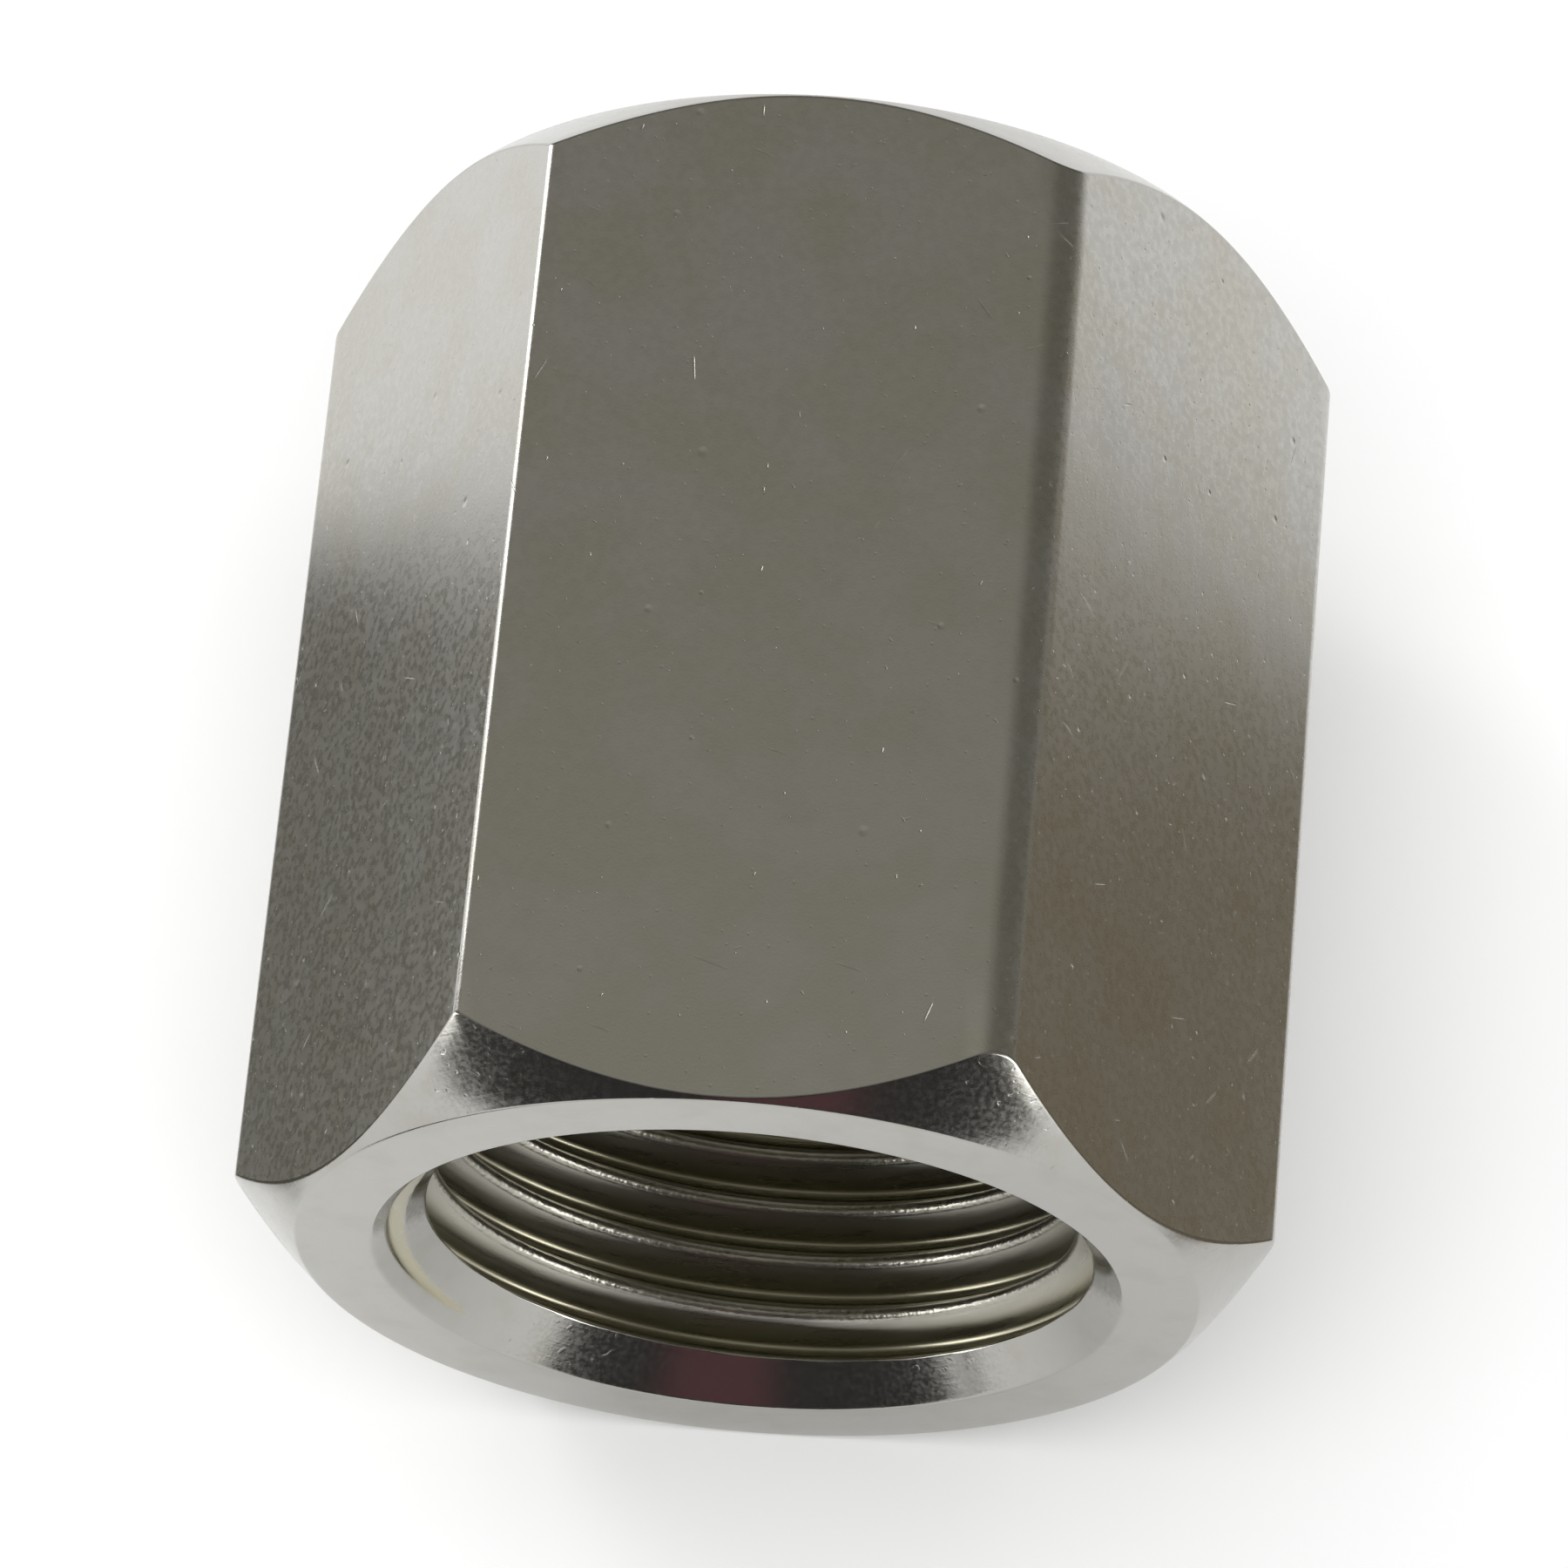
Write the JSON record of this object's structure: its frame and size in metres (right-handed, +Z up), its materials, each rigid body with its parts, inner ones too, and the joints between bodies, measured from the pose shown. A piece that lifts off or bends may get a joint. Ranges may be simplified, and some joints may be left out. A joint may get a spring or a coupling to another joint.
{
  "type": "threaded socket",
  "caption": "Hexagonal nickel-plated brass socket, tapped right through, that joins two parallel-threaded male pipe ends in line.",
  "frame": {"origin": "on the floor below the middle of the bore, half-way between the two end faces", "axes": "+Z up, square to the flat that the socket rests on; the bore runs along Y and the front mouth faces -Y; X runs across two edges of the hexagon"},
  "size_m": [0.024, 0.0252, 0.021],
  "materials": {
    "nickel_plated_brass": "nickel plated, satin flats and bright turned ends"
  },
  "bodies": {
    "root": {"socket_body": "nickel_plated_brass"}
  },
  "joints": []
}
